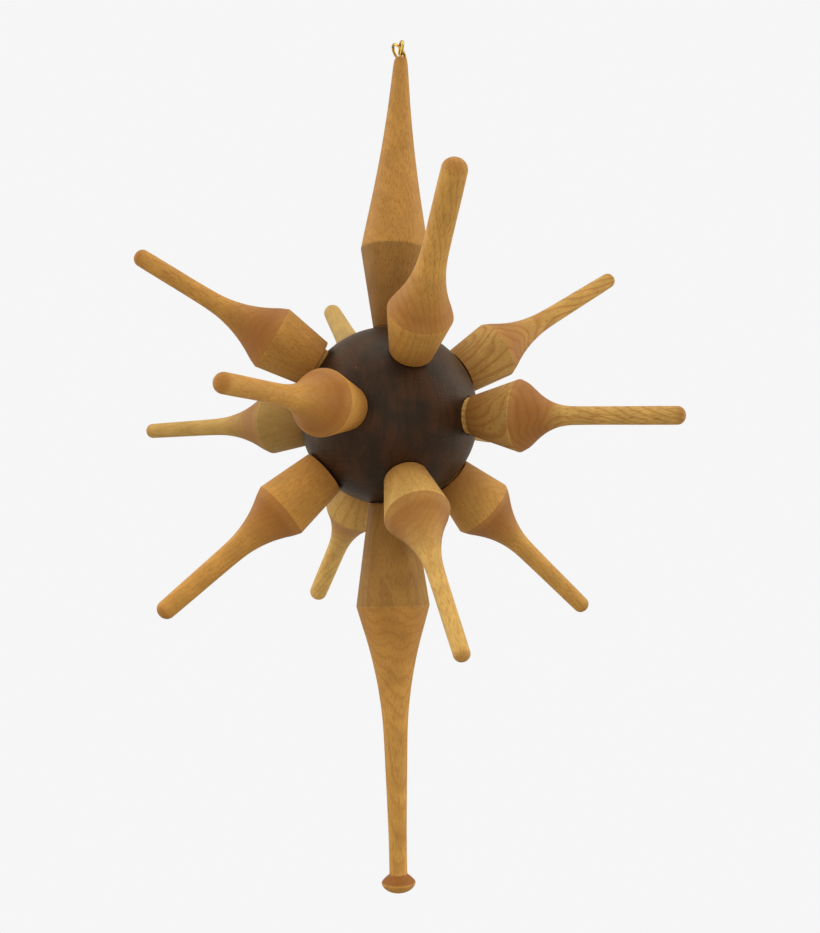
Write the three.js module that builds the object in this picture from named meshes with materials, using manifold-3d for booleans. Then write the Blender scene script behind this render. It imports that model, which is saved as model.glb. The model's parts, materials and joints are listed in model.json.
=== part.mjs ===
// A hanging star turned in wood: a dark ball with fourteen pale spikes pushed into drilled
// sockets, hung from a small brass screw eye that carries a loose ring.
// Millimetres, +Z up. The origin is where the star hangs, at the top of the eye's hole, and
// the ball's centre is straight below it.

import * as THREE from 'three';
import { mergeVertices } from 'three/addons/utils/BufferGeometryUtils.js';
import Module from 'manifold-3d';

const wasm = await Module();
wasm.setup();

// ---- Ball and sockets ----
const BALL_DIAMETER = 50;
const TENON_DIAMETER = 10;
const TENON_CHAMFER = 0.8;
const SOCKET_CLEARANCE = 0.1;
const SOCKET_BOTTOM_GAP = 0.6;
const SOCKET_WALL = 1.2;
const SEAT_GAP = 0.3;
const DRILL_RUN_OUT = 6;

// ---- A short spike: heights are from its shoulder outwards ----
// The shoulder stands out from the tenon all round by shoulderWidth. The hollow is a sweep from
// the ridge into the straight shaft at the end: it leaves the ridge by sweepDrop over sweepRise
// and reaches hollowDiameter about hollowHeight above the ridge.
const SHORT_SPIKE = {
  length: 58.6,
  ridgeHeight: 13.6,
  ridgeDiameter: 18,
  shoulderWidth: 1.7,
  sweepRise: 3.5,
  sweepDrop: 1.5,
  hollowHeight: 9.5,
  hollowDiameter: 5.2,
  shaftLength: 24,
  shaftDiameter: 5.2,
  tipDiameter: 4.7,
};

// ---- The top spike, which carries the eye ----
const TOP_SPIKE = {
  length: 79.4,
  ridgeHeight: 22.7,
  ridgeDiameter: 19.2,
  shoulderWidth: 0.3,
  sweepRise: 14,
  sweepDrop: 2.4,
  hollowHeight: 28,
  hollowDiameter: 8.4,
  shaftLength: 2.7,
  shaftDiameter: 4.2,
  tipDiameter: 3.9,
};

// ---- The bottom spike, which ends in a turned knob ----
const BOTTOM_SPIKE = {
  length: 106,
  ridgeHeight: 28.2,
  ridgeDiameter: 20.4,
  shoulderWidth: 1.2,
  sweepRise: 7,
  sweepDrop: 2,
  hollowHeight: 20,
  hollowDiameter: 6.7,
  shaftLength: 37.8,
  shaftDiameter: 6.3,
  tipDiameter: 4.9,
};
const BOTTOM_LEAN = 3;
const BOTTOM_LEAN_TOWARD = 28;
const KNOB_DIAMETER = 9.2;
const KNOB_HEIGHT = 4.4;
const KNOB_EDGE = 1.6;

const RIDGE_EDGE = 0.35;
const TIP_ROUNDING = 0.9;

// ---- Drilling pattern: turn is about +Z from +X, tilt is up from level ----
const UPPER_TILT = 33;
const LOWER_TILT = -41;

// Every short spike was turned, drilled for and seated by hand, so each differs a little from
// the pattern: turn, tilt and the lean of a crooked socket in degrees, the rest in millimetres.
// "hollow" makes the sweep longer, and "proud" lifts the shoulder off the ball.
const SHORT_SPIKES = [
  { name: 'equator_spike_1', turn: 0, tilt: -1.3, longer: -1.2, ridge: 1.5, shoulder: -1.2,
    hollow: -3, shaft: -0.3, proud: 1 },
  { name: 'equator_spike_2', turn: 92, tilt: 2, longer: -1 },
  { name: 'equator_spike_3', turn: 181.5, tilt: -2, longer: 0.6, ridge: -0.3, shaft: -0.3,
    tip: -0.3 },
  { name: 'equator_spike_4', turn: 271.5, tilt: -1.8, ridge: -0.5, shoulder: -0.7,
    shaft: -0.2, tip: 0.2 },
  { name: 'upper_spike_1', turn: 45, tilt: UPPER_TILT + 1, longer: 0.5, ridge: -1.1,
    tip: -0.3 },
  { name: 'upper_spike_2', turn: 135, tilt: UPPER_TILT - 1.5, longer: 0.6,
    hollow: 2, shaft: 1.6, tip: 1.1 },
  { name: 'upper_spike_3', turn: 223.5, tilt: UPPER_TILT - 2, leanTilt: -3.5, leanTurn: -1,
    longer: -2.7, ridge: 0.3, shoulder: 0.2, shaft: -0.2, proud: 0.7 },
  { name: 'upper_spike_4', turn: 313, tilt: UPPER_TILT + 4, leanTilt: 1, leanTurn: -5,
    longer: 0.6, ridge: -0.5, shoulder: -0.8, shaft: 1.6, tip: 1.6, proud: 0.3 },
  { name: 'lower_spike_1', turn: 46.5, tilt: LOWER_TILT + 1, longer: -0.5, ridge: 0.7,
    shoulder: -0.5, hollow: -1, shaft: 0.2 },
  { name: 'lower_spike_2', turn: 136, tilt: LOWER_TILT, leanTilt: 2, leanTurn: 2.5,
    longer: 0.6, ridge: 0.2, shaft: 0.6, tip: 0.8, proud: 0.2 },
  { name: 'lower_spike_3', turn: 222.5, tilt: LOWER_TILT - 2, longer: -0.4, ridgeUp: 2.1,
    ridge: -1.2, hollow: -1, shaft: 0.7, tip: 0.5 },
  { name: 'lower_spike_4', turn: 315, tilt: LOWER_TILT - 6.5, leanTilt: 1.5, leanTurn: 2,
    longer: 2, ridge: -0.4, shoulder: -0.7, shaft: -0.7, tip: -0.6, proud: 0.2 },
];

// ---- Screw eye and ring ----
const EYE_WIRE = 1;
const EYE_TURN = 130;
const NECK_HEIGHT = 0.1;
const SHANK_DIAMETER = 1.2;
const SHANK_LENGTH = 9;
const SHANK_POINT = 1.6;
const PILOT_CLEARANCE = 0.2;
const PILOT_BOTTOM_GAP = 0.5;
const RING_WIRE = 0.9;
const RING_DROOP = 40;
// The loops and where they cross, in wire spacings: two wires side by side with a little play.
const WIRE_PLAY = 0.05;
const EYE_RADIUS_SPACINGS = 1.8;
const RING_RADIUS_SPACINGS = 2.8;
const RING_OUT_SPACINGS = 0.2;
const RING_ALONG_SPACINGS = 3;

// ---- Mesh fineness ----
const TURNED_SIDES = 20;
const BALL_SIDES = 40;
const WIRE_SIDES = 10;
const LOOP_STEPS = 24;
const HOLLOW_STEPS = 6;
const TIP_STEPS = 4;
const KNOB_STEPS = 5;

const rad = THREE.MathUtils.degToRad;
const ballRadius = BALL_DIAMETER / 2;
const tenonRadius = TENON_DIAMETER / 2;
const socketRadius = tenonRadius + SOCKET_CLEARANCE;
// A flat shoulder lands on the mouth of its socket.
const seatRadius = Math.sqrt(ballRadius ** 2 - socketRadius ** 2) + SEAT_GAP;
const shankRadius = SHANK_DIAMETER / 2;
const eyeWireRadius = EYE_WIRE / 2;
const wireSpacing = (EYE_WIRE + RING_WIRE) / 2 + WIRE_PLAY;
const eyeRadius = EYE_RADIUS_SPACINGS * wireSpacing;
const eyeCentreHeight = NECK_HEIGHT + eyeRadius + eyeWireRadius;
const hangHeight = seatRadius + TOP_SPIKE.length + eyeCentreHeight + eyeRadius - eyeWireRadius;

const PALE_WOOD = new THREE.Color(0xc4914f);
const DARK_WOOD = new THREE.Color(0x3c2d23);
const BRASS = new THREE.Color(0xb8993f);

function wood(color) {
  return new THREE.MeshStandardMaterial({ color, roughness: 0.55, metalness: 0 });
}

function brass() {
  return new THREE.MeshStandardMaterial({ color: BRASS, roughness: 0.3, metalness: 1 });
}

// Turns an outline of [radius, height] points about +Z.
function turned(outline, sides = TURNED_SIDES) {
  const points = outline.map(([radius, height]) => new THREE.Vector2(radius, height));
  const geometry = new THREE.LatheGeometry(points, sides);
  geometry.rotateX(Math.PI / 2);
  return geometry;
}

function rod(radius, length, sides = TURNED_SIDES) {
  return turned([[0, 0], [radius, 0], [radius, length], [0, length]], sides);
}

function ringOf(radius, wireRadius) {
  return new THREE.TorusGeometry(radius, wireRadius, WIRE_SIDES, LOOP_STEPS);
}

// A quarter of an ellipse from the side of a round end, at height, to the axis.
function domeEnd(radius, height, rise, steps) {
  const points = [];
  for (let i = 1; i < steps; i += 1) {
    const angle = (i / steps) * (Math.PI / 2);
    points.push([radius * Math.cos(angle), height + rise * Math.sin(angle)]);
  }
  points.push([0, height + rise]);
  return points;
}

function hollowSweep(spike) {
  const { ridgeHeight, ridgeDiameter, sweepRise, sweepDrop } = spike;
  const curve = new THREE.CubicBezierCurve(
    new THREE.Vector2(ridgeDiameter / 2, ridgeHeight + RIDGE_EDGE),
    new THREE.Vector2(ridgeDiameter / 2 - sweepDrop, ridgeHeight + sweepRise),
    new THREE.Vector2(spike.hollowDiameter / 2, ridgeHeight + spike.hollowHeight),
    new THREE.Vector2(spike.shaftDiameter / 2, spike.length - spike.shaftLength),
  );
  return curve.getPoints(HOLLOW_STEPS).map((point) => [point.x, point.y]);
}

// Tenon, flat shoulder, straight cone and ridge, common to every spike. The shoulder is at 0.
function footOutline(spike) {
  const ridgeRadius = spike.ridgeDiameter / 2;
  return [
    [0, -tenonLength],
    [tenonRadius - TENON_CHAMFER, -tenonLength],
    [tenonRadius, -tenonLength + TENON_CHAMFER],
    [tenonRadius, 0],
    [tenonRadius + spike.shoulderWidth, 0],
    [ridgeRadius, spike.ridgeHeight - RIDGE_EDGE],
  ];
}

function plainSpike(spike) {
  const tipRadius = spike.tipDiameter / 2;
  const rise = tipRadius * TIP_ROUNDING;
  const shoulderOfTip = spike.length - rise;
  return turned([
    ...footOutline(spike),
    ...hollowSweep(spike),
    [tipRadius, shoulderOfTip],
    ...domeEnd(tipRadius, shoulderOfTip, rise, TIP_STEPS),
  ]);
}

// The knob is a rounded button on a short neck.
function knobSpike(spike) {
  const neckRadius = spike.tipDiameter / 2;
  const knobRadius = KNOB_DIAMETER / 2;
  const knobBase = spike.length - KNOB_HEIGHT;
  const knobSide = knobBase + KNOB_EDGE;
  return turned([
    ...footOutline(spike),
    ...hollowSweep(spike),
    [neckRadius, knobBase - KNOB_EDGE / 2],
    [(neckRadius + knobRadius) / 2, knobBase + KNOB_EDGE / 4],
    [knobRadius, knobSide],
    ...domeEnd(knobRadius, knobSide, spike.length - knobSide, KNOB_STEPS),
  ]);
}

function solid(geometry) {
  const bare = geometry.clone();
  bare.deleteAttribute('normal');
  bare.deleteAttribute('uv');
  const merged = mergeVertices(bare, 1e-5);
  const vertProperties = new Float32Array(merged.attributes.position.array);
  const triVerts = new Uint32Array(merged.index.array);
  return new wasm.Manifold(new wasm.Mesh({ numProp: 3, vertProperties, triVerts }));
}

function geometryOf(manifold) {
  const { vertProperties, triVerts } = manifold.getMesh();
  const geometry = new THREE.BufferGeometry();
  geometry.setAttribute('position', new THREE.BufferAttribute(vertProperties, 3));
  geometry.setIndex(new THREE.BufferAttribute(triVerts, 1));
  geometry.computeVertexNormals();
  return geometry;
}

function pointAt(turn, tilt, distance) {
  return new THREE.Vector3(
    distance * Math.cos(rad(tilt)) * Math.cos(rad(turn)),
    distance * Math.cos(rad(tilt)) * Math.sin(rad(turn)),
    distance * Math.sin(rad(tilt)),
  );
}

// The rotation that brings +Z onto a direction.
function aimAlong(direction) {
  return new THREE.Quaternion().setFromUnitVectors(new THREE.Vector3(0, 0, 1), direction);
}

// Which way each socket is drilled, by the name of its spike.
function drillDirections() {
  const directions = new Map();
  for (const { name, turn, tilt, leanTurn = 0, leanTilt = 0 } of SHORT_SPIKES) {
    directions.set(name, pointAt(turn + leanTurn, tilt + leanTilt, 1));
  }
  directions.set('top_spike', pointAt(0, 90, 1));
  directions.set('bottom_spike', pointAt(BOTTOM_LEAN_TOWARD, BOTTOM_LEAN - 90, 1));
  return directions;
}

function closestAngle(directions) {
  let closest = Math.PI;
  for (const one of directions) {
    for (const other of directions) {
      if (one !== other) closest = Math.min(closest, one.angleTo(other));
    }
  }
  return closest;
}

function shortSpikeSizes(own) {
  const { longer = 0, ridgeUp = 0, ridge = 0, shoulder = 0, hollow = 0, shaft = 0, tip = 0 } = own;
  return {
    length: SHORT_SPIKE.length + longer,
    ridgeHeight: SHORT_SPIKE.ridgeHeight + ridgeUp,
    ridgeDiameter: SHORT_SPIKE.ridgeDiameter + ridge,
    shoulderWidth: SHORT_SPIKE.shoulderWidth + shoulder,
    sweepRise: SHORT_SPIKE.sweepRise,
    sweepDrop: SHORT_SPIKE.sweepDrop,
    hollowHeight: SHORT_SPIKE.hollowHeight + hollow,
    hollowDiameter: SHORT_SPIKE.hollowDiameter + shaft,
    shaftLength: SHORT_SPIKE.shaftLength + longer - ridgeUp - 2 * hollow,
    shaftDiameter: SHORT_SPIKE.shaftDiameter + shaft,
    tipDiameter: SHORT_SPIKE.tipDiameter + tip,
  };
}

// Every spike with its shape and where the centre of its shoulder is.
function allSpikes() {
  const spikes = SHORT_SPIKES.map((own) => ({
    name: own.name,
    geometry: plainSpike(shortSpikeSizes(own)),
    seat: pointAt(own.turn, own.tilt, seatRadius + (own.proud ?? 0)),
  }));
  spikes.push({
    name: 'top_spike',
    geometry: pilotDrilled(plainSpike(TOP_SPIKE)),
    seat: directions.get('top_spike').clone().multiplyScalar(seatRadius),
  });
  spikes.push({
    name: 'bottom_spike',
    geometry: knobSpike(BOTTOM_SPIKE),
    seat: directions.get('bottom_spike').clone().multiplyScalar(seatRadius),
  });
  return spikes;
}

// The top spike has a blind pilot hole down its tip for the eye's shank.
function pilotDrilled(geometry) {
  const depth = SHANK_LENGTH + PILOT_BOTTOM_GAP;
  const drill = rod(shankRadius + PILOT_CLEARANCE, depth + DRILL_RUN_OUT, WIRE_SIDES);
  drill.translate(0, 0, TOP_SPIKE.length - depth);
  return geometryOf(solid(geometry).subtract(solid(drill)));
}

// Each socket is drilled down its spike's own axis, a little deeper than the tenon.
function drilledBall(spikes) {
  const depth = tenonLength + SOCKET_BOTTOM_GAP;
  let ball = solid(new THREE.SphereGeometry(ballRadius, BALL_SIDES, BALL_SIDES / 2));
  for (const spike of spikes) {
    const drill = rod(socketRadius, depth + DRILL_RUN_OUT);
    drill.translate(0, 0, -depth);
    drill.applyQuaternion(aimAlong(directions.get(spike.name)));
    drill.translate(spike.seat.x, spike.seat.y, spike.seat.z);
    ball = ball.subtract(solid(drill));
  }
  return geometryOf(ball);
}

// The loop stands on edge, and its pointed shank goes down the pilot hole.
function screwEye() {
  const loop = ringOf(eyeRadius, eyeWireRadius);
  loop.rotateX(Math.PI / 2);
  loop.translate(0, 0, eyeCentreHeight);
  const shank = turned([
    [0, -SHANK_LENGTH],
    [shankRadius, -SHANK_LENGTH + SHANK_POINT],
    [shankRadius, 0],
    [eyeWireRadius, NECK_HEIGHT],
    [eyeWireRadius, NECK_HEIGHT + eyeWireRadius],
    [0, NECK_HEIGHT + eyeWireRadius],
  ], WIRE_SIDES);
  return geometryOf(solid(loop).add(solid(shank)));
}

// Neighbouring sockets stop a wall short of where they would run into each other.
const directions = drillDirections();
const socketFloor = socketRadius / Math.tan(closestAngle([...directions.values()]) / 2) + SOCKET_WALL;
const tenonLength = seatRadius - socketFloor - SOCKET_BOTTOM_GAP;

const star = new THREE.Group();

function place(name, geometry, material, parent) {
  const mesh = new THREE.Mesh(geometry, material);
  mesh.name = name;
  parent.add(mesh);
  return mesh;
}

const ballGroup = new THREE.Group();
ballGroup.position.z = -hangHeight;
star.add(ballGroup);

const spikes = allSpikes();
place('hub_ball', drilledBall(spikes), wood(DARK_WOOD), ballGroup);

for (const spike of spikes) {
  const mesh = place(spike.name, spike.geometry, wood(PALE_WOOD), ballGroup);
  mesh.quaternion.copy(aimAlong(directions.get(spike.name)));
  mesh.position.copy(spike.seat);
}

const eyeGroup = new THREE.Group();
eyeGroup.position.z = seatRadius + TOP_SPIKE.length;
eyeGroup.rotation.z = rad(EYE_TURN);
ballGroup.add(eyeGroup);
place('screw_eye', screwEye(), brass(), eyeGroup);

// The ring passes through the eye round one side of its wire, and droops on the other side of
// the eye's plane. It swings about the line where it crosses that plane.
const ringSwing = new THREE.Group();
ringSwing.position.z = eyeCentreHeight;
ringSwing.rotation.x = rad(90 - RING_DROOP);
eyeGroup.add(ringSwing);
const ringLoop = ringOf(RING_RADIUS_SPACINGS * wireSpacing, RING_WIRE / 2);
ringLoop.translate(RING_ALONG_SPACINGS * wireSpacing, -RING_OUT_SPACINGS * wireSpacing, 0);
place('hanging_ring', ringLoop, brass(), ringSwing);

export default star;
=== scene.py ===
"""Looks for a hanging star turned in wood: a dark ball, fourteen pale spikes and a brass eye.

Each spike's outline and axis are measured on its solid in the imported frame, then turned again
finely. The ball is drilled again for them, and the brass is bent again from round wire.
"""

import json
import math
import random

import bmesh
import bpy
from bpy.props import FloatProperty, FloatVectorProperty, IntProperty, PointerProperty
from mathutils import Matrix, Vector


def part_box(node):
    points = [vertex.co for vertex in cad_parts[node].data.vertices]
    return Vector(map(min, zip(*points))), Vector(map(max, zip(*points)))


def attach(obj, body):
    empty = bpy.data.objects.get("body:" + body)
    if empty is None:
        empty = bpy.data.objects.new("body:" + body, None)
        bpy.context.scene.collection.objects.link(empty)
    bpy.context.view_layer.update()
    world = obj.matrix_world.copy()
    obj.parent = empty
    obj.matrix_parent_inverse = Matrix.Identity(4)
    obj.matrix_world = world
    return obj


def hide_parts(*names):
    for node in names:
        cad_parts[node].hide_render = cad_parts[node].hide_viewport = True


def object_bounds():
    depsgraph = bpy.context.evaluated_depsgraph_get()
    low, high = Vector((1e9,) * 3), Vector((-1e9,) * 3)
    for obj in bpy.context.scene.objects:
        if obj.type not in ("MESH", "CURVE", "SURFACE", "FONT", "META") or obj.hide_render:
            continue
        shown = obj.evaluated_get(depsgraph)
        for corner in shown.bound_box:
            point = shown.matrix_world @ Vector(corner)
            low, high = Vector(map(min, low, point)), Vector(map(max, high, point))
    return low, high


bl_info = {
    "name": "Turned Hanging Star",
    "version": (1, 0, 0),
    "blender": (4, 5, 0),
    "location": "View3D > Sidebar > Star",
    "description": "Makes a turned wooden star: pale spikes in a dark ball, hung from a brass eye",
    "category": "Add Mesh",
}

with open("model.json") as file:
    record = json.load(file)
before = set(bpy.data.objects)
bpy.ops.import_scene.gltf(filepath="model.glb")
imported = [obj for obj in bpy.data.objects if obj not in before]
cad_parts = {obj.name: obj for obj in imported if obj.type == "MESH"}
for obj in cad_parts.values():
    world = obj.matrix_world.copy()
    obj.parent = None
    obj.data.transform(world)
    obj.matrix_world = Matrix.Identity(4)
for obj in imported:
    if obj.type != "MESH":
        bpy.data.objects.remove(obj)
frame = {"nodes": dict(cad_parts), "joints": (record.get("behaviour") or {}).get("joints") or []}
CAD_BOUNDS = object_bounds()
MM = 0.001

# Heights or radii of a solid that differ by less than this are one step of its outline.
SAME_STEP = 0.01 * MM
# Vertices of a new mesh that lie closer than this are welded.
WELD = 1e-7
# Faces that meet at more than this keep a sharp edge.
SHARP_FROM = math.radians(32)
# Which way the ball's grain runs.
BALL_GRAIN_TURN = math.radians(35)
# Seeds the draws that chip the sockets' rims. Drilling leaves the rims' vertices in an order that
# changes from run to run, so the draws repeat but the vertices that get them do not.
CHIP_SEED = 14
# How far past a socket's wall a vertex still counts as part of its rim.
RIM_BAND = 0.15 * MM
# Long enough to reach out of the ball from the bottom of any socket.
DRILL_LENGTH = 30 * MM

PULLS = {joint["child"]: joint for joint in frame["joints"] if joint["type"] == "slide"}
RING_SWING = next(joint for joint in frame["joints"] if joint["type"] == "hinge")
SHORT_SPIKES = [body for body in PULLS if body not in ("top_spike", "bottom_spike")]

# How each spike was cut from its stick. turn: degrees the stick was turned in its socket.
# pith: millimetres from the spike's axis to the heart of the tree. lean: how far the heart runs
# off over each millimetre. tone: 0 warm to 1 pale straw. rings: how dark the year rings are.
# shade: how light the whole stick is drawn, partly its own tone and partly painted shade and light
# for how the panels fall on it. foot: painted shade from the ball, how light the spike is drawn
# from the ridge down to the ball.
STICKS = {
    "equator_spike_1": dict(
        turn=200, pith=9, lean=0.30, tone=0.65, rings=0.8, flecks=1.3,
        shade=0.97, foot=0.85,
    ),
    "equator_spike_2": dict(
        turn=30, pith=24, lean=0.05, tone=0.5, rings=0.4, flecks=0.8,
        shade=1, foot=1,
    ),
    "equator_spike_3": dict(
        turn=80, pith=30, lean=0.06, tone=0.75, rings=0.3, flecks=0.5,
        shade=0.86, foot=0.75,
    ),
    "equator_spike_4": dict(
        turn=10, pith=26, lean=0.08, tone=0.15, rings=0.25, flecks=0.9,
        shade=1, foot=1,
    ),
    "upper_spike_1": dict(
        turn=240, pith=8, lean=0.22, tone=0.55, rings=0.9, flecks=1.0,
        shade=1, foot=0.85,
    ),
    "upper_spike_2": dict(
        turn=150, pith=34, lean=0.04, tone=1.0, rings=0.2, flecks=0.3,
        shade=0.76, foot=1,
    ),
    "upper_spike_3": dict(
        turn=120, pith=30, lean=0.10, tone=0.1, rings=0.35, flecks=1.2,
        shade=0.9, foot=0.92,
    ),
    "upper_spike_4": dict(
        turn=45, pith=14, lean=0.12, tone=0.3, rings=0.45, flecks=1.0,
        shade=1, foot=1,
    ),
    "lower_spike_1": dict(
        turn=300, pith=18, lean=0.14, tone=0.3, rings=0.35, flecks=0.9,
        shade=1, foot=1,
    ),
    "lower_spike_2": dict(
        turn=60, pith=10, lean=0.25, tone=0.8, rings=0.5, flecks=0.6,
        shade=1.1, foot=1,
    ),
    "lower_spike_3": dict(
        turn=220, pith=28, lean=0.10, tone=0.1, rings=0.3, flecks=0.9,
        shade=1, foot=1,
    ),
    "lower_spike_4": dict(
        turn=15, pith=20, lean=0.12, tone=0.75, rings=0.3, flecks=0.9,
        shade=1.04, foot=1,
    ),
    "top_spike": dict(
        turn=70, pith=16, lean=0.10, tone=0.1, rings=0.3, flecks=1.1,
        shade=0.82, foot=0.66,
    ),
    "bottom_spike": dict(
        turn=110, pith=12, lean=0.12, tone=0.2, rings=0.45, flecks=0.9,
        shade=0.97, foot=0.66,
    ),
}


# ---------------------------------------------------------------- sizes and colours


class StarTurning(bpy.types.PropertyGroup):
    """Sizes of the turned and drilled wood."""

    sides: IntProperty(
        name="Sides", description="Steps round each turned spike", default=72, min=12
    )
    outline_steps: IntProperty(
        name="Outline steps", description="Steps between two points of a hollow", default=6, min=1
    )
    ridge_round: FloatProperty(
        name="Ridge rounding", description="How far the sharp ridge is sanded back",
        default=0.12 * MM, unit="LENGTH",
    )
    shoulder_round: FloatProperty(
        name="Shoulder rounding", description="How far the shoulder's edge is sanded back",
        default=0.18 * MM, unit="LENGTH",
    )
    pilot_radius: FloatProperty(
        name="Pilot radius", description="Radius of the hole down the top spike for the eye",
        default=0.8 * MM, unit="LENGTH",
    )
    pilot_depth: FloatProperty(
        name="Pilot depth", description="Depth of the hole down the top spike for the eye",
        default=9.5 * MM, unit="LENGTH",
    )
    ball_sides: IntProperty(
        name="Ball sides", description="Steps round the ball", default=160, min=24
    )
    socket_play: FloatProperty(
        name="Socket play", description="Gap round a tenon in its socket",
        default=0.1 * MM, unit="LENGTH",
    )
    socket_gap: FloatProperty(
        name="Socket bottom gap", description="Gap between a tenon's end and the socket's floor",
        default=0.6 * MM, unit="LENGTH",
    )
    rim_chips: FloatProperty(
        name="Rim chips", description="How far the drill broke away the rim of a socket",
        default=0.35 * MM, unit="LENGTH",
    )


class StarBrass(bpy.types.PropertyGroup):
    """Sizes of the screw eye's and the ring's wire."""

    wire_sides: IntProperty(
        name="Wire sides", description="Steps round the wire", default=20, min=8
    )
    loop_steps: IntProperty(
        name="Loop steps", description="Steps round a loop", default=72, min=16
    )
    thread_pitch: FloatProperty(
        name="Thread pitch", description="Rise of the screw thread in one turn",
        default=0.55 * MM, unit="LENGTH",
    )
    thread_wire: FloatProperty(
        name="Thread height", description="How far the thread stands out of the shank",
        default=0.13 * MM, unit="LENGTH",
    )


class StarColours(bpy.types.PropertyGroup):
    """Colours of the woods and the brass."""

    warm: FloatVectorProperty(
        name="Warm wood", description="The warmest of the spikes' faces",
        subtype="COLOR", size=3, min=0, max=1, default=(0.56, 0.29, 0.062),
    )
    straw: FloatVectorProperty(
        name="Straw wood", description="The palest of the spikes' faces",
        subtype="COLOR", size=3, min=0, max=1, default=(0.60, 0.42, 0.135),
    )
    end_grain: FloatVectorProperty(
        name="End grain", description="Wood cut across the grain, at tips and steep hollows",
        subtype="COLOR", size=3, min=0, max=1, default=(0.235, 0.072, 0.010),
    )
    fleck: FloatVectorProperty(
        name="Fleck", description="Short dark flecks along the grain",
        subtype="COLOR", size=3, min=0, max=1, default=(0.34, 0.125, 0.024),
    )
    heartwood: FloatVectorProperty(
        name="Dark heartwood", description="The ball between its year rings",
        subtype="COLOR", size=3, min=0, max=1, default=(0.025, 0.0135, 0.0072),
    )
    heartwood_red: FloatVectorProperty(
        name="Red heartwood", description="The warm patches of the ball",
        subtype="COLOR", size=3, min=0, max=1, default=(0.052, 0.0205, 0.0085),
    )
    pore: FloatVectorProperty(
        name="Pore", description="The ball's open pores and year rings",
        subtype="COLOR", size=3, min=0, max=1, default=(0.014, 0.008, 0.006),
    )
    speck: FloatVectorProperty(
        name="Speck", description="The few pale specks on the ball",
        subtype="COLOR", size=3, min=0, max=1, default=(0.20, 0.14, 0.09),
    )
    brass: FloatVectorProperty(
        name="Brass", description="Clean brass wire",
        subtype="COLOR", size=3, min=0, max=1, default=(0.62, 0.44, 0.11),
    )
    tarnish: FloatVectorProperty(
        name="Tarnish", description="Brass that has gone dull",
        subtype="COLOR", size=3, min=0, max=1, default=(0.20, 0.13, 0.035),
    )
    paper: FloatVectorProperty(
        name="Paper", description="The floor and everything behind the star",
        subtype="COLOR", size=3, min=0, max=1, default=(0.921, 0.921, 0.921),
    )


class StarStage(bpy.types.PropertyGroup):
    """Floor, lights and camera."""

    floor_drop: FloatProperty(
        name="Floor drop", description="From the star's lowest point down to the floor",
        default=0.12, unit="LENGTH",
    )
    floor_radius: FloatProperty(
        name="Floor radius", description="How far the floor reaches", default=30.0, unit="LENGTH"
    )
    lens: FloatProperty(
        name="Lens", description="Focal length on a 36 mm wide sensor", default=49.43
    )
    camera_turn: FloatProperty(
        name="Camera turn", description="Which side the camera stands on",
        default=math.radians(26.68), subtype="ANGLE",
    )
    camera_rise: FloatProperty(
        name="Camera rise", description="How far the camera looks up",
        default=math.radians(4.16), subtype="ANGLE",
    )
    camera_roll: FloatProperty(
        name="Camera roll", description="How far the camera leans to one side",
        default=math.radians(1.78), subtype="ANGLE",
    )
    camera_offset: FloatVectorProperty(
        name="Camera offset",
        description="From the ball's centre: right, up and back from the view",
        size=3, subtype="XYZ", default=(0.00589, -0.01405, 0.3167),
    )
    top_light: FloatProperty(
        name="Top light", description="Power of the overhead panel", default=3.5
    )
    side_light: FloatProperty(
        name="Side light", description="Power of the side panels", default=3.6
    )
    front_light: FloatProperty(
        name="Front light", description="Power of the front panel", default=2.6
    )
    fill: FloatProperty(
        name="Fill", description="Strength of the light from all round", default=0.66
    )
    underside: FloatProperty(
        name="Underside", description="Light from below, as a share of the light from above",
        default=0.9,
    )
    warmth: FloatVectorProperty(
        name="Warmth", description="Colour of the panels and of the light from all round",
        subtype="COLOR", size=3, min=0, max=1, default=(1.0, 0.90, 0.74),
    )


# ---------------------------------------------------------------- measuring the frame


def body_axis(body):
    return Vector(PULLS[body]["axis"]).normalized()


def spots(node):
    """The places of a node's vertices, each once."""
    seen = {tuple(round(c, 7) for c in v.co): v.co for v in frame["nodes"][node].data.vertices}
    return [co.copy() for co in seen.values()]


def spike_outline(node):
    """Where a spike's tenon ends on its axis, and its outline as (radius, height) from there."""
    axis = body_axis(node)
    points = spots(node)
    low = min(p.dot(axis) for p in points)
    end = [p for p in points if p.dot(axis) - low < SAME_STEP]
    centre = sum(end, Vector()) / len(end)
    widest = {}
    for p in points:
        height = (p - centre).dot(axis)
        radius = (p - centre - axis * height).length
        key = round(height / (2 * SAME_STEP))
        if key not in widest or radius > widest[key][0]:
            widest[key] = (radius, height)
    return centre, axis, [widest[key] for key in sorted(widest)]


def tenon_radius(outline):
    """The radius of a spike's tenon, from its outline."""
    return max(radius for radius, height in outline if height < 2 * MM)


def turning_frame(centre, axis, turn):
    """From a piece turned about +Z at the origin to its place in the star."""
    return (
        Matrix.Translation(centre)
        @ Vector((0, 0, 1)).rotation_difference(axis).to_matrix().to_4x4()
        @ Matrix.Rotation(math.radians(turn), 4, "Z")
    )


def smooth_run(points, steps):
    """A smooth line through the points, without the bulges that uneven gaps would give."""
    ends = [2 * points[0] - points[1], *points, 2 * points[-1] - points[-2]]
    run = [points[0]]
    for a, b, c, d in zip(ends, ends[1:], ends[2:], ends[3:]):
        ab, bc, cd = ((q - p).length ** 0.5 for p, q in ((a, b), (b, c), (c, d)))
        out = (c - a) * (bc / (ab + bc)) if ab + bc else c - b
        into = (d - b) * (bc / (bc + cd)) if bc + cd else c - b
        reach = (c - b).length
        out = out.normalized() * reach if out.length else c - b
        into = into.normalized() * reach if into.length else c - b
        for i in range(1, steps + 1):
            t = i / steps
            run.append(
                b * (2 * t**3 - 3 * t**2 + 1) + out * (t**3 - 2 * t**2 + t)
                + c * (3 * t**2 - 2 * t**3) + into * (t**3 - t**2)
            )
    return run


# ---------------------------------------------------------------- making meshes


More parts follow.
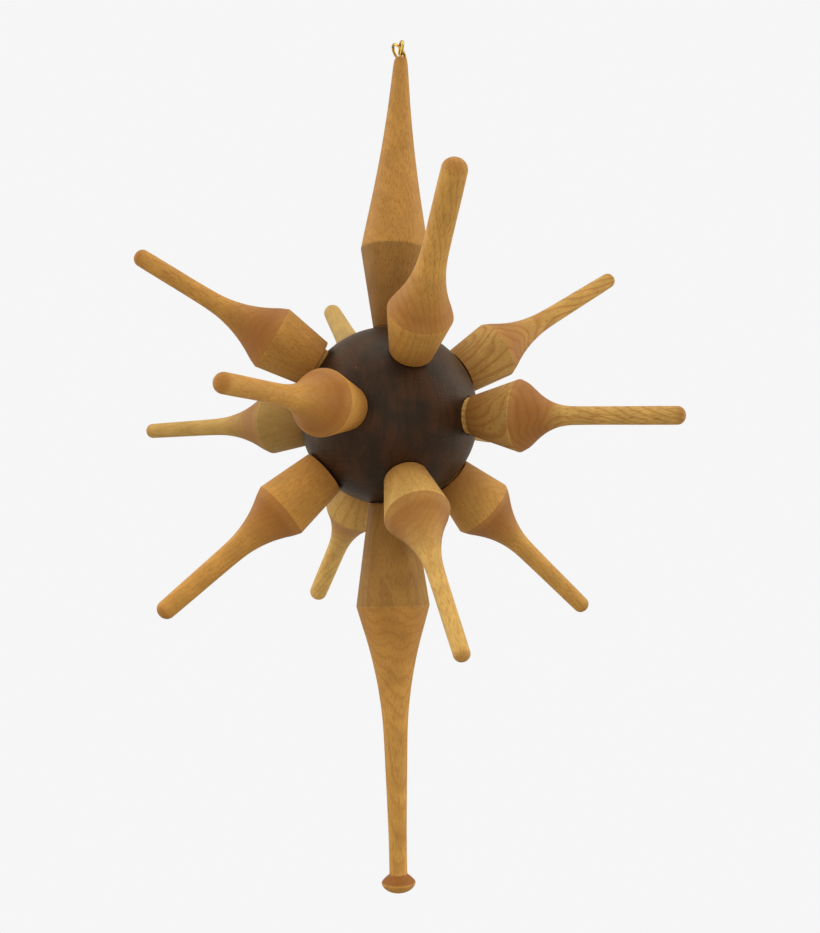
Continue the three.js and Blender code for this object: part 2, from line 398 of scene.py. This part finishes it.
def spin_outline(outline, sides):
    """A bmesh turned from an outline of (radius, height) points."""
    bm = bmesh.new()
    verts = [bm.verts.new((max(radius, 0), 0, height)) for radius, height in outline]
    edges = [bm.edges.new(pair) for pair in zip(verts, verts[1:])]
    bmesh.ops.spin(
        bm, geom=verts + edges, cent=(0, 0, 0), axis=(0, 0, 1),
        angle=math.tau, steps=sides, use_merge=True,
    )
    bmesh.ops.remove_doubles(bm, verts=bm.verts, dist=WELD)
    bmesh.ops.dissolve_degenerate(bm, edges=bm.edges, dist=0.1 * WELD)
    bmesh.ops.recalc_face_normals(bm, faces=bm.faces)
    return bm


def round_hoop(bm, radius, height, amount, segments=3):
    """Rounds the hoop of edges at one radius and height of a turned bmesh."""
    on_it = {
        v for v in bm.verts
        if abs(v.co.z - height) < 1e-6 and abs(v.co.xy.length - radius) < 1e-6
    }
    hoop = [e for e in bm.edges if e.verts[0] in on_it and e.verts[1] in on_it]
    bmesh.ops.bevel(
        bm, geom=hoop, offset=amount, offset_type="OFFSET", segments=segments, profile=0.5,
        affect="EDGES", material=-1,
    )


def wire_loop(radius, wire_radius, steps, sides):
    """A bmesh of wire bent into a loop round +Z."""
    bm = bmesh.new()
    circle = bmesh.ops.create_circle(bm, segments=sides, radius=wire_radius, cap_ends=False)
    bmesh.ops.rotate(bm, verts=circle["verts"], matrix=Matrix.Rotation(math.pi / 2, 3, "X"))
    bmesh.ops.translate(bm, verts=circle["verts"], vec=(radius, 0, 0))
    bmesh.ops.spin(
        bm, geom=bm.verts[:] + bm.edges[:], cent=(0, 0, 0), axis=(0, 0, 1),
        angle=math.tau, steps=steps, use_merge=True,
    )
    bmesh.ops.remove_doubles(bm, verts=bm.verts, dist=WELD)
    bmesh.ops.recalc_face_normals(bm, faces=bm.faces)
    return bm


def finish_piece(name, bm, place, material, body, replaced):
    """Puts a bmesh in its place in the star as a finished piece."""
    bm.transform(place)
    for face in bm.faces:
        face.smooth = True
    mesh = bpy.data.meshes.new(name)
    bm.to_mesh(mesh)
    bm.free()
    mesh.set_sharp_from_angle(angle=SHARP_FROM)
    mesh.materials.append(material)
    piece = bpy.data.objects.new(name, mesh)
    bpy.context.scene.collection.objects.link(piece)
    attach(piece, body)
    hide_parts(*replaced)
    return piece


# ---------------------------------------------------------------- materials


class Nodes:
    """Short ways to place and join nodes in one node tree."""

    def __init__(self, tree):
        self.tree = tree

    def add(self, kind, inputs=None, **settings):
        node = self.tree.nodes.new(kind)
        for name, value in settings.items():
            setattr(node, name, value)
        for socket, value in (inputs or {}).items():
            self.put(node.inputs[socket], value)
        return node

    def put(self, socket, value):
        if isinstance(value, bpy.types.NodeSocket):
            self.tree.links.new(value, socket)
        elif value is not None:
            socket.default_value = value

    def math(self, operation, a, b=None, c=None, clamp=False):
        inputs = {i: v for i, v in enumerate((a, b, c)) if v is not None}
        return self.add("ShaderNodeMath", inputs, operation=operation, use_clamp=clamp).outputs[0]

    def vector(self, operation, a, b=None):
        inputs = {i: v for i, v in enumerate((a, b)) if v is not None}
        node = self.add("ShaderNodeVectorMath", inputs, operation=operation)
        return node.outputs["Value" if operation in ("LENGTH", "DOT_PRODUCT") else "Vector"]

    def ramp(self, value, low, high, out_low=0.0, out_high=1.0):
        inputs = {0: value, 1: low, 2: high, 3: out_low, 4: out_high}
        return self.add("ShaderNodeMapRange", inputs, interpolation_type="SMOOTHSTEP").outputs[0]

    def noise(self, vector, scale, detail=2.0, roughness=0.5, distortion=0.0):
        inputs = {
            "Vector": vector, "Scale": scale, "Detail": detail,
            "Roughness": roughness, "Distortion": distortion,
        }
        return self.add("ShaderNodeTexNoise", inputs).outputs

    def mix(self, factor, a, b, blend="MIX"):
        node = self.add("ShaderNodeMix", data_type="RGBA", blend_type=blend, clamp_factor=True)
        self.put(node.inputs[0], factor)
        self.put(node.inputs[6], (*a, 1) if isinstance(a, (tuple, list, Vector)) else a)
        self.put(node.inputs[7], (*b, 1) if isinstance(b, (tuple, list, Vector)) else b)
        return node.outputs[2]

    def scaled(self, colour, by):
        """A colour made lighter or darker by a number."""
        grey = self.add("ShaderNodeCombineColor", {0: by, 1: by, 2: by}).outputs[0]
        return self.mix(1.0, colour, grey, "MULTIPLY")


def new_group(name, inputs, outputs):
    """An empty node group with named float, vector or colour sockets."""
    tree = bpy.data.node_groups.new(name, "ShaderNodeTree")
    for socket, kind, default in inputs:
        item = tree.interface.new_socket(name=socket, in_out="INPUT", socket_type=kind)
        item.default_value = default
    for socket, kind in outputs:
        tree.interface.new_socket(name=socket, in_out="OUTPUT", socket_type=kind)
    nodes = Nodes(tree)
    return nodes, nodes.add("NodeGroupInput").outputs, nodes.add("NodeGroupOutput").inputs


FLOAT = "NodeSocketFloat"
VECTOR = "NodeSocketVector"


def year_rings_group():
    """Year rings and slow mottle of wood, in a stick whose grain runs along Z, in millimetres."""
    name = "Year Rings"
    if name in bpy.data.node_groups:
        return bpy.data.node_groups[name]
    nodes, given, out = new_group(
        name,
        [
            ("Point", VECTOR, (0, 0, 0)), ("Pith", FLOAT, 20.0), ("Lean", FLOAT, 0.1),
            ("Spacing", FLOAT, 2.0), ("Wander", FLOAT, 1.0),
        ],
        [("Rings", FLOAT), ("Mottle", FLOAT)],
    )
    slow = nodes.noise(nodes.vector("MULTIPLY", given["Point"], (1, 1, 0.35)), 0.09, 2.0)
    split = nodes.add("ShaderNodeSeparateXYZ", {0: given["Point"]}).outputs
    drift = nodes.add("ShaderNodeSeparateColor", {0: slow["Color"]}).outputs
    reach = nodes.math("MULTIPLY", given["Wander"], 8.0)
    x = nodes.math("MULTIPLY_ADD", nodes.math("SUBTRACT", drift[0], 0.5), reach, split["X"])
    y = nodes.math("MULTIPLY_ADD", nodes.math("SUBTRACT", drift[1], 0.5), reach, split["Y"])
    x = nodes.math("SUBTRACT", x, given["Pith"])
    x = nodes.math("MULTIPLY_ADD", split["Z"], given["Lean"], x)
    flat = nodes.add("ShaderNodeCombineXYZ", {0: x, 1: y}).outputs[0]
    from_pith = nodes.math("DIVIDE", nodes.vector("LENGTH", flat), given["Spacing"])
    in_ring = nodes.math("FRACT", from_pith)
    late = nodes.math(
        "MULTIPLY", nodes.ramp(in_ring, 0.45, 0.86), nodes.ramp(in_ring, 0.88, 1.0, 1.0, 0.0)
    )
    nodes.put(out["Rings"], late)
    nodes.put(out["Mottle"], nodes.noise(given["Point"], 0.12, 3.0)["Fac"])
    return nodes.tree


def flecks_group():
    """Short dashes that run along Z, in millimetres."""
    name = "Grain Flecks"
    if name in bpy.data.node_groups:
        return bpy.data.node_groups[name]
    nodes, given, out = new_group(
        name,
        [
            ("Point", VECTOR, (0, 0, 0)), ("Width", FLOAT, 0.3), ("Length", FLOAT, 1.4),
            ("Cut", FLOAT, 0.6),
        ],
        [("Flecks", FLOAT), ("Fibre", FLOAT)],
    )
    across = nodes.math("DIVIDE", 1.0, given["Width"])
    along = nodes.math("DIVIDE", 1.0, given["Length"])
    size = nodes.add("ShaderNodeCombineXYZ", {0: across, 1: across, 2: along}).outputs[0]
    stretched = nodes.vector("MULTIPLY", given["Point"], size)
    dashes = nodes.noise(stretched, 0.55, 1.0, 0.4)["Fac"]
    full = nodes.math("ADD", given["Cut"], 0.14)
    nodes.put(out["Flecks"], nodes.ramp(dashes, given["Cut"], full))
    fine = nodes.vector("MULTIPLY", stretched, (1.6, 1.6, 0.35))
    nodes.put(out["Fibre"], nodes.noise(fine, 0.8, 2.0)["Fac"])
    return nodes.tree


def place_group(nodes, tree, inputs):
    node = nodes.add("ShaderNodeGroup", node_tree=tree)
    for socket, value in inputs.items():
        nodes.put(node.inputs[socket], value)
    return node.outputs


def stick_point(nodes, place):
    """A point in the stick's own frame, in millimetres, with the grain along Z."""
    back = place.inverted()
    spot = nodes.add("ShaderNodeTexCoord").outputs
    turned = nodes.add("ShaderNodeMapping", {"Vector": spot["Object"]}, vector_type="POINT")
    turned.inputs["Location"].default_value = back.translation / MM
    turned.inputs["Rotation"].default_value = back.to_euler()
    turned.inputs["Scale"].default_value = (1 / MM, 1 / MM, 1 / MM)
    return turned.outputs[0], spot["Normal"]


def new_material(name):
    material = bpy.data.materials.new(name)
    material.use_nodes = True
    material.node_tree.nodes.clear()
    nodes = Nodes(material.node_tree)
    shader = nodes.add("ShaderNodeBsdfPrincipled")
    nodes.add("ShaderNodeOutputMaterial", {"Surface": shader.outputs[0]})
    return material, nodes, shader.inputs


def pale_wood(name, place, axis, ridge_height, length, stick):
    """Pale close-grained wood, oiled to a satin, for one spike."""
    colours = bpy.context.scene.star_colours
    material, nodes, surface = new_material(name)
    point, normal = stick_point(nodes, place)
    rings = place_group(nodes, year_rings_group(), {
        "Point": point, "Pith": stick["pith"], "Lean": stick["lean"], "Spacing": 1.3, "Wander": 0.7,
    })
    grain = place_group(nodes, flecks_group(), {
        "Point": point, "Width": 0.2, "Length": 0.85, "Cut": 0.53,
    })
    across = nodes.math("ABSOLUTE", nodes.vector("DOT_PRODUCT", normal, tuple(axis)))
    face = nodes.mix(stick["tone"], tuple(colours.warm), tuple(colours.straw))
    light = nodes.ramp(rings["Mottle"], 0.3, 0.7, 0.86, 1.08)
    face = nodes.scaled(face, light)
    dark_ring = nodes.math("MULTIPLY", rings["Rings"], 0.6 * stick["rings"])
    face = nodes.mix(dark_ring, face, tuple(colours.fleck))
    height = nodes.add("ShaderNodeSeparateXYZ", {0: point}).outputs["Z"]
    before_tip = nodes.ramp(height, length / MM - 3.2, length / MM - 1.6, 0.8, 0.15)
    steep = nodes.math("MULTIPLY", nodes.ramp(across, 0.05, 0.6), before_tip)
    face = nodes.mix(steep, face, tuple(colours.end_grain))
    dark_fleck = nodes.math("MULTIPLY", grain["Flecks"], 0.42 * stick["flecks"])
    face = nodes.mix(dark_fleck, face, tuple(colours.fleck))
    fibre = nodes.ramp(grain["Fibre"], 0.35, 0.65, 0.93, 1.05)
    ridge = ridge_height / MM
    # Painted shade: the whole stick is scaled by its shade, partly its own tone and partly painted
    # shade and light, and from the ridge down to the ball by its foot as well, as painted shade
    # from the ball.
    shade = stick["shade"]
    painted_shade_foot_to_shaft = nodes.ramp(height, ridge - 0.6, ridge + 0.6, shade * stick["foot"], shade)
    face = nodes.scaled(face, nodes.math("MULTIPLY", fibre, painted_shade_foot_to_shaft))
    tip = nodes.math("MULTIPLY", nodes.ramp(height, length / MM - 3.0, length / MM - 0.2), 0.38)
    face = nodes.mix(tip, face, tuple(colours.end_grain))
    nodes.put(surface["Base Color"], face)
    nodes.put(surface["Roughness"], nodes.ramp(grain["Fibre"], 0.2, 0.8, 0.46, 0.62))
    nodes.put(surface["Specular IOR Level"], 0.25)
    relief = nodes.math("MULTIPLY_ADD", grain["Flecks"], -0.6, grain["Fibre"])
    bump = nodes.add("ShaderNodeBump", {"Strength": 0.25, "Distance": 0.00005, "Height": relief})
    nodes.put(surface["Normal"], bump.outputs[0])
    return material


def dark_wood(place):
    """Dark open-pored heartwood with faint tool rings, for the ball."""
    colours = bpy.context.scene.star_colours
    material, nodes, surface = new_material("dark_heartwood")
    point, _ = stick_point(nodes, place)
    rings = place_group(nodes, year_rings_group(), {
        "Point": point, "Pith": 34.0, "Lean": 0.1, "Spacing": 3.4, "Wander": 1.6,
    })
    grain = place_group(nodes, flecks_group(), {
        "Point": point, "Width": 0.3, "Length": 2.6, "Cut": 0.55,
    })
    warm = nodes.ramp(rings["Mottle"], 0.38, 0.66)
    face = nodes.mix(warm, tuple(colours.heartwood), tuple(colours.heartwood_red))
    face = nodes.mix(nodes.math("MULTIPLY", rings["Rings"], 0.3), face, tuple(colours.pore))
    face = nodes.mix(nodes.math("MULTIPLY", grain["Flecks"], 0.4), face, tuple(colours.pore))
    specks = nodes.ramp(nodes.noise(point, 1.5, 0.0)["Fac"], 0.87, 0.90, 0.0, 0.4)
    face = nodes.mix(specks, face, tuple(colours.speck))
    nodes.put(surface["Base Color"], face)
    nodes.put(surface["Roughness"], nodes.ramp(grain["Fibre"], 0.2, 0.8, 0.36, 0.5))
    nodes.put(surface["Specular IOR Level"], 0.2)
    split = nodes.add("ShaderNodeSeparateXYZ", {0: point}).outputs
    tool = nodes.math("SINE", nodes.math("MULTIPLY", split["Z"], 7.0))
    relief = nodes.math("MULTIPLY_ADD", grain["Flecks"], -1.0, nodes.math("MULTIPLY", tool, 0.25))
    bump = nodes.add("ShaderNodeBump", {"Strength": 0.3, "Distance": 0.00006, "Height": relief})
    nodes.put(surface["Normal"], bump.outputs[0])
    return material


def brass_wire(name):
    """Drawn brass wire, bright on top and dull in patches."""
    if name in bpy.data.materials:
        return bpy.data.materials[name]
    colours = bpy.context.scene.star_colours
    material, nodes, surface = new_material(name)
    spot = nodes.add("ShaderNodeTexCoord").outputs["Object"]
    dull = nodes.ramp(nodes.noise(spot, 900.0, 3.0)["Fac"], 0.42, 0.66)
    nodes.put(surface["Base Color"], nodes.mix(dull, tuple(colours.brass), tuple(colours.tarnish)))
    nodes.put(surface["Metallic"], 1.0)
    nodes.put(surface["Roughness"], nodes.ramp(dull, 0.0, 1.0, 0.2, 0.45))
    bump = nodes.add("ShaderNodeBump", {
        "Strength": 0.15, "Distance": 0.00003, "Height": nodes.noise(spot, 2500.0, 2.0)["Fac"],
    })
    nodes.put(surface["Normal"], bump.outputs[0])
    return material


# ---------------------------------------------------------------- the pieces


def make_spike(node, pilot=False):
    """Turns one spike again from the outline of its solid."""
    turning = bpy.context.scene.star_turning
    centre, axis, outline = spike_outline(node)
    stick = STICKS[node]
    place = turning_frame(centre, axis, stick["turn"])
    widest = max(radius for radius, _ in outline)
    ridge = [i for i, (radius, _) in enumerate(outline) if widest - radius < SAME_STEP]
    ridge_height = sum(outline[i][1] for i in ridge) / len(ridge)
    shoulder = outline[ridge[0] - 1]
    chamfer, tenon, *rest_of_foot = outline[:ridge[0]]
    # the tenon stays straight up to the flat shoulder, which stands out from it
    foot = [(0, 0), chamfer, tenon, (tenon[0], shoulder[1]), *rest_of_foot]
    hole = turning.pilot_radius + 0.1 * MM if pilot else -1.0
    tip = [p for p in outline[ridge[-1] + 1:] if p[0] > hole]
    if tip[-1][0] > 1e-5 and not pilot:
        raise ValueError(f"{node}: no tip on the axis")
    run = smooth_run(
        [Vector((widest, ridge_height)), *[Vector(p) for p in tip]], turning.outline_steps
    )
    run = [(p.x, p.y) for p in run]
    length = run[-1][1]
    if pilot:
        mouth = length + (tip[-1][0] - turning.pilot_radius) * 0.25
        length = mouth
        run += [
            (turning.pilot_radius, mouth),
            (turning.pilot_radius, mouth - turning.pilot_depth),
            (0, mouth - turning.pilot_depth),
        ]
    bm = spin_outline(foot + run, turning.sides)
    round_hoop(bm, widest, ridge_height, turning.ridge_round)
    round_hoop(bm, shoulder[0], shoulder[1], turning.shoulder_round, 2)
    material = pale_wood(f"{node}_wood", place, axis, ridge_height, length, stick)
    return finish_piece(f"{node}_turned", bm, place, material, node, [node])


class STAR_OT_ball(bpy.types.Operator):
    """Turn the dark ball and drill a socket down the axis of every spike"""

    bl_idname = "star.ball"
    bl_label = "Dark Ball"

    def execute(self, context):
        turning = context.scene.star_turning
        low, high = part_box("hub_ball")
        ball_points = spots("hub_ball")
        # the end spikes' sockets cut away its poles, so the box gives only a first guess
        eye = Vector(RING_SWING["pos_m"])
        centre = Vector((eye.x, eye.y, (low.z + high.z) / 2))
        radius = max((p - centre).length for p in ball_points)
        centre.z = ball_centre_height(ball_points, centre, radius)
        radius = max((p - centre).length for p in ball_points)
        bm = bmesh.new()
        bmesh.ops.create_uvsphere(
            bm, u_segments=turning.ball_sides, v_segments=turning.ball_sides // 2, radius=radius
        )
        mesh = bpy.data.meshes.new("ball_blank")
        bm.transform(Matrix.Translation(centre))
        bm.to_mesh(mesh)
        bm.free()
        blank = bpy.data.objects.new("ball_blank", mesh)
        context.scene.collection.objects.link(blank)
        drills = [self.drill(context, node) for node in PULLS]
        for drill in drills:
            cut = blank.modifiers.new(drill.name, "BOOLEAN")
            cut.operation = "DIFFERENCE"
            cut.solver = "EXACT"
            cut.object = drill
        context.view_layer.update()
        drilled = blank.evaluated_get(context.evaluated_depsgraph_get())
        bm = bmesh.new()
        bm.from_mesh(drilled.to_mesh())
        for old in (blank, *drills):
            old_mesh = old.data
            bpy.data.objects.remove(old)
            bpy.data.meshes.remove(old_mesh)
        self.chip_rims(bm, centre, radius)
        place = Matrix.Translation(centre) @ Matrix.Rotation(BALL_GRAIN_TURN, 4, "Z")
        finish_piece(
            "ball_turned", bm, Matrix.Identity(4), dark_wood(place),
            "ball", ["hub_ball"],
        )
        return {"FINISHED"}

    def drill(self, context, node):
        """A drill as wide and as deep as the socket that this spike's tenon sits in."""
        turning = context.scene.star_turning
        centre, axis, outline = spike_outline(node)
        radius = tenon_radius(outline) + turning.socket_play
        bm = bmesh.new()
        bmesh.ops.create_cone(
            bm, cap_ends=True, segments=turning.sides, depth=DRILL_LENGTH,
            radius1=radius, radius2=radius,
        )
        bmesh.ops.translate(bm, verts=bm.verts, vec=(0, 0, DRILL_LENGTH / 2 - turning.socket_gap))
        bm.transform(turning_frame(centre, axis, 0))
        mesh = bpy.data.meshes.new(f"drill_{node}")
        bm.to_mesh(mesh)
        bm.free()
        drill = bpy.data.objects.new(f"drill_{node}", mesh)
        context.scene.collection.objects.link(drill)
        return drill

    def chip_rims(self, bm, centre, radius):
        """Breaks each socket's rim back a little, unevenly, as a drill does."""
        turning = bpy.context.scene.star_turning
        chance = random.Random(CHIP_SEED)
        bores = []
        for node in PULLS:
            start, axis, outline = spike_outline(node)
            bores.append((start, axis, tenon_radius(outline) + turning.socket_play + RIM_BAND))
        for v in bm.verts:
            on_the_skin = abs((v.co - centre).length - radius) <= 5 * SAME_STEP
            if not on_the_skin:
                continue
            for start, axis, rim in bores:
                across = (v.co - start) - axis * (v.co - start).dot(axis)
                if (v.co - start).dot(axis) > 0 and across.length < rim:
                    v.co += across.normalized() * chance.random() ** 3 * turning.rim_chips


def ball_centre_height(points, guess, radius):
    """The height of a ball's centre, from the spots on its skin."""
    skin = [p for p in points if abs((p - guess).length - radius) < 0.6 * MM]
    a = b = 0.0
    mean = sum(p.z for p in skin) / len(skin)
    square = [p.length_squared - 2 * (p.x * guess.x + p.y * guess.y) for p in skin]
    level = sum(square) / len(square)
    for p, s in zip(skin, square):
        a += (p.z - mean) * (s - level)
        b += (p.z - mean) ** 2
    return a / (2 * b)


class STAR_OT_short_spikes(bpy.types.Operator):
    """Turn the short spikes round the ball"""

    bl_idname = "star.short_spikes"
    bl_label = "Short Spikes"

    def execute(self, context):
        for node in SHORT_SPIKES:
            make_spike(node)
        return {"FINISHED"}


class STAR_OT_top_spike(bpy.types.Operator):
    """Turn the top spike, with the pilot hole for the eye"""

    bl_idname = "star.top_spike"
    bl_label = "Top Spike"

    def execute(self, context):
        make_spike("top_spike", pilot=True)
        return {"FINISHED"}


class STAR_OT_bottom_spike(bpy.types.Operator):
    """Turn the bottom spike with its knob"""

    bl_idname = "star.bottom_spike"
    bl_label = "Bottom Spike"

    def execute(self, context):
        make_spike("bottom_spike")
        return {"FINISHED"}


class STAR_OT_screw_eye(bpy.types.Operator):
    """Bend the brass screw eye and cut its thread"""

    bl_idname = "star.screw_eye"
    bl_label = "Screw Eye"

    def execute(self, context):
        brass = context.scene.star_brass
        centre = Vector(RING_SWING["pos_m"])
        across = Vector(RING_SWING["axis"]).normalized()
        normal = across.cross(Vector((0, 0, 1)))
        points = spots("screw_eye")
        top = max(p.z for p in points) - centre.z
        above = [p for p in points if p.z > centre.z - 0.2 * top]
        wire = max(abs((p - centre).dot(normal)) for p in above)
        bm = wire_loop(top - wire, wire, brass.loop_steps, brass.wire_sides)
        bm.transform(Matrix.Rotation(math.pi / 2, 4, "X"))
        low = min(p.z for p in points) - centre.z
        below = [p for p in points if p.z - centre.z < -top - wire]
        shank = max((p - centre).xy.length for p in below)
        neck = -(top - wire)
        outline = [
            (0, low), (0.15 * shank, low + 0.1 * MM), (shank, low + 1.6 * MM), (shank, neck - wire),
            (wire, neck - 0.4 * wire), (wire * 0.8, neck), (0, neck),
        ]
        stem = spin_outline(outline, brass.wire_sides)
        self.join(bm, stem)
        self.join(bm, self.thread(shank, low + 1.2 * MM, neck - 1.6 * MM))
        turn = math.atan2(across.y, across.x)
        place = Matrix.Translation(centre) @ Matrix.Rotation(turn, 4, "Z")
        finish_piece(
            "screw_eye_wire", bm, place, brass_wire("brass_wire"),
            "top_spike", ["screw_eye"],
        )
        return {"FINISHED"}

    def join(self, bm, other):
        """Adds a second bmesh to the first."""
        mesh = bpy.data.meshes.new("joining")
        other.to_mesh(mesh)
        other.free()
        bm.from_mesh(mesh)
        bpy.data.meshes.remove(mesh)

    def thread(self, shank, low, high):
        """A thread wound up the shank, as one closed rod."""
        brass = bpy.context.scene.star_brass
        turns = (high - low) / brass.thread_pitch
        steps = max(4, int(turns * 16))
        bm = bmesh.new()
        ring = bmesh.ops.create_circle(bm, segments=6, radius=brass.thread_wire, cap_ends=True)
        bmesh.ops.rotate(bm, verts=ring["verts"], matrix=Matrix.Rotation(math.pi / 2, 3, "X"))
        bmesh.ops.translate(bm, verts=ring["verts"], vec=(shank, 0, low))
        bmesh.ops.spin(
            bm, geom=bm.verts[:] + bm.edges[:] + bm.faces[:], cent=(0, 0, 0), axis=(0, 0, 1),
            dvec=(0, 0, (high - low) / steps), angle=turns * math.tau, steps=steps,
            use_duplicate=False,
        )
        bmesh.ops.recalc_face_normals(bm, faces=bm.faces)
        return bm


class STAR_OT_ring(bpy.types.Operator):
    """Bend the loose brass ring in the eye"""

    bl_idname = "star.ring"
    bl_label = "Hanging Ring"

    def execute(self, context):
        brass = context.scene.star_brass
        points = spots("hanging_ring")
        centre = sum(points, Vector()) / len(points)
        hinge = Vector(RING_SWING["axis"]).normalized()
        pivot = Vector(RING_SWING["pos_m"])
        out = centre - pivot
        out -= hinge * out.dot(hinge)
        normal = hinge.cross(out).normalized()
        wire = max(abs((p - centre).dot(normal)) for p in points)
        reach = max((p - centre).length for p in points)
        bm = wire_loop(reach - wire, wire, brass.loop_steps, brass.wire_sides)
        tilt = Vector((0, 0, 1)).rotation_difference(normal).to_matrix().to_4x4()
        place = Matrix.Translation(centre) @ tilt
        finish_piece(
            "hanging_ring_wire", bm, place, brass_wire("brass_wire"),
            "ring", ["hanging_ring"],
        )
        return {"FINISHED"}


class STAR_OT_stage(bpy.types.Operator):
    """Set up the floor, the lights and the camera"""

    bl_idname = "star.stage"
    bl_label = "Stage"

    def execute(self, context):
        stage = context.scene.star_stage
        self.floor(context, stage)
        self.surroundings(context, stage)
        ball = sum((Vector(c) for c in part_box("hub_ball")), Vector()) / 2
        turn = Matrix.Rotation(stage.camera_turn, 4, "Z")
        panels = {
            "overhead_panel": ((0.05, -0.05, 0.75), (0.9, 0.9), stage.top_light),
            "left_panel": ((-0.75, 0.15, 0.25), (0.8, 1.0), stage.side_light),
            "right_panel": ((0.75, 0.1, 0.2), (0.8, 1.0), stage.side_light),
            "front_panel": ((-0.1, -0.9, 0.1), (1.2, 1.2), stage.front_light),
        }
        for name, (spot, size, power) in panels.items():
            self.panel(context, name, ball + turn.to_3x3() @ Vector(spot), ball, size, power)
        self.camera(context, stage, ball, turn)
        return {"FINISHED"}

    def floor(self, context, stage):
        colours = context.scene.star_colours
        bm = bmesh.new()
        bmesh.ops.create_circle(bm, cap_ends=True, segments=96, radius=stage.floor_radius)
        bmesh.ops.translate(bm, verts=bm.verts, vec=(0, 0, CAD_BOUNDS[0][2] - stage.floor_drop))
        mesh = bpy.data.meshes.new("paper_floor")
        bm.to_mesh(mesh)
        bm.free()
        material, nodes, surface = new_material("pale_paper")
        nodes.put(surface["Base Color"], (0.0, 0.0, 0.0, 1))
        nodes.put(surface["Roughness"], 1.0)
        nodes.put(surface["Specular IOR Level"], 0.0)
        nodes.put(surface["Emission Color"], (*colours.paper, 1))
        nodes.put(surface["Emission Strength"], 1.0)
        mesh.materials.append(material)
        floor = bpy.data.objects.new("paper_floor", mesh)
        floor.visible_diffuse = False
        floor.visible_glossy = False
        context.scene.collection.objects.link(floor)

    def surroundings(self, context, stage):
        colours = context.scene.star_colours
        world = bpy.data.worlds.new("pale_room")
        context.scene.world = world
        world.use_nodes = True
        world.node_tree.nodes.clear()
        nodes = Nodes(world.node_tree)
        seen = nodes.add("ShaderNodeLightPath").outputs["Is Camera Ray"]
        ray = nodes.add("ShaderNodeTexCoord").outputs["Generated"]
        up = nodes.add("ShaderNodeSeparateXYZ", {0: ray}).outputs["Z"]
        glow = nodes.ramp(up, -0.8, 0.6, stage.fill * stage.underside, stage.fill)
        strength = nodes.add("ShaderNodeMapRange", {0: seen, 3: glow, 4: 1.0}).outputs[0]
        colour = nodes.mix(seen, tuple(stage.warmth), tuple(colours.paper))
        back = nodes.add("ShaderNodeBackground", {"Color": colour, "Strength": strength})
        nodes.add("ShaderNodeOutputWorld", {"Surface": back.outputs[0]})
        context.scene.view_settings.view_transform = "Standard"

    def panel(self, context, name, spot, target, size, power):
        light = bpy.data.lights.new(name, "AREA")
        light.shape = "RECTANGLE"
        light.size, light.size_y = size
        light.energy = power
        light.color = context.scene.star_stage.warmth
        panel = bpy.data.objects.new(name, light)
        panel.location = spot
        panel.rotation_euler = (target - spot).to_track_quat("-Z", "Y").to_euler()
        panel.visible_camera = False
        context.scene.collection.objects.link(panel)

    def camera(self, context, stage, ball, turn):
        lens = bpy.data.cameras.new("camera")
        lens.sensor_fit = "HORIZONTAL"
        lens.sensor_width = 36
        lens.lens = stage.lens
        lens.clip_start = 0.01
        camera = bpy.data.objects.new("camera", lens)
        rise = Matrix.Rotation(math.pi / 2 + stage.camera_rise, 4, "X")
        look = turn @ rise @ Matrix.Rotation(stage.camera_roll, 4, "Z")
        spot = ball + look.to_3x3() @ Vector(stage.camera_offset)
        camera.matrix_world = Matrix.Translation(spot) @ look
        context.scene.collection.objects.link(camera)
        context.scene.camera = camera


class STAR_PT_panel(bpy.types.Panel):
    """Lists the star's pieces in the order they are made"""

    bl_idname = "STAR_PT_panel"
    bl_label = "Turned Star"
    bl_space_type = "VIEW_3D"
    bl_region_type = "UI"
    bl_category = "Star"

    def draw(self, context):
        for operator in OPERATORS:
            self.layout.operator(operator.bl_idname)


GROUPS = (StarTurning, StarBrass, StarColours, StarStage)
OPERATORS = (
    STAR_OT_ball,
    STAR_OT_short_spikes,
    STAR_OT_top_spike,
    STAR_OT_bottom_spike,
    STAR_OT_screw_eye,
    STAR_OT_ring,
    STAR_OT_stage,
)


def register():
    for cls in (*GROUPS, *OPERATORS, STAR_PT_panel):
        bpy.utils.register_class(cls)
    bpy.types.Scene.star_turning = PointerProperty(type=StarTurning)
    bpy.types.Scene.star_brass = PointerProperty(type=StarBrass)
    bpy.types.Scene.star_colours = PointerProperty(type=StarColours)
    bpy.types.Scene.star_stage = PointerProperty(type=StarStage)


def unregister():
    del bpy.types.Scene.star_stage
    del bpy.types.Scene.star_colours
    del bpy.types.Scene.star_brass
    del bpy.types.Scene.star_turning
    for cls in reversed((*GROUPS, *OPERATORS, STAR_PT_panel)):
        bpy.utils.unregister_class(cls)


def main():
    register()
    bpy.ops.star.ball()
    bpy.ops.star.short_spikes()
    bpy.ops.star.top_spike()
    bpy.ops.star.bottom_spike()
    bpy.ops.star.screw_eye()
    bpy.ops.star.ring()
    bpy.ops.star.stage()


if __name__ == "__main__":
    main()
